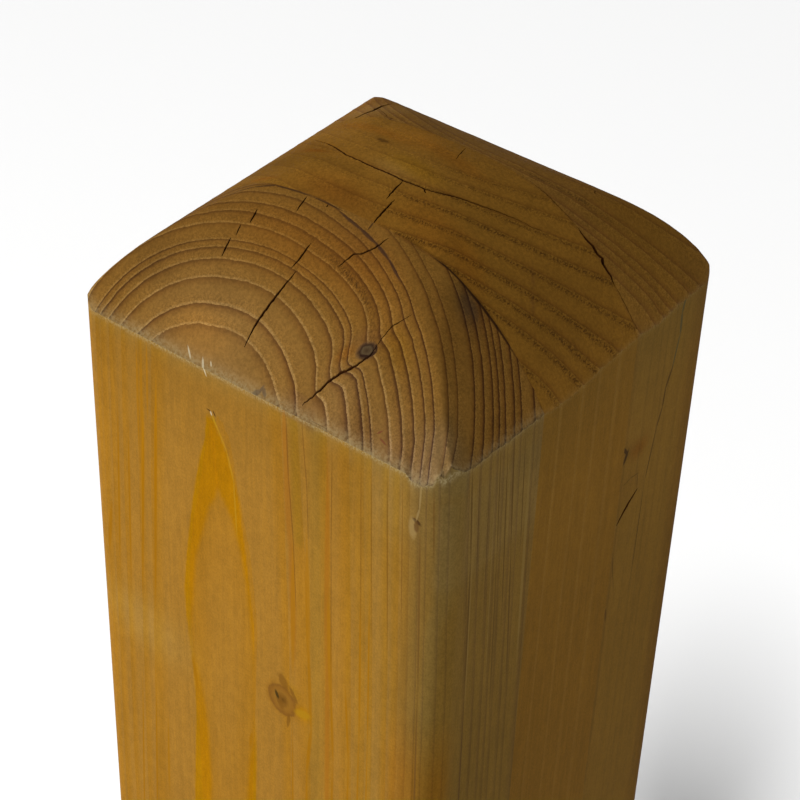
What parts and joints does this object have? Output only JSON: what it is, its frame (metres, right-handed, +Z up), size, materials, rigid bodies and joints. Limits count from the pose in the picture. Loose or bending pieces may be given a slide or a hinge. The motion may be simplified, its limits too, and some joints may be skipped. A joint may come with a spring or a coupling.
{
  "type": "square wooden post",
  "caption": "Square post glued up from softwood boards, planed, with rounded arrises and a head rounded on four sides to shed rain; stands on its sawn foot or is built into a porch or fence.",
  "frame": {"origin": "centre of the sawn foot, on the ground", "axes": "+Z up the post, +X to the right across it, +Y from the front board to the back board"},
  "size_m": [0.09, 0.09, 1],
  "materials": {
    "front_softwood": "planed, honey stain worn by weather, matt",
    "middle_softwood": "planed, honey stain worn by weather, matt",
    "back_softwood": "planed, honey stain worn by weather, matt"
  },
  "bodies": {
    "root": {"front_board": "front_softwood", "middle_board": "middle_softwood", "back_board": "back_softwood"}
  },
  "joints": []
}
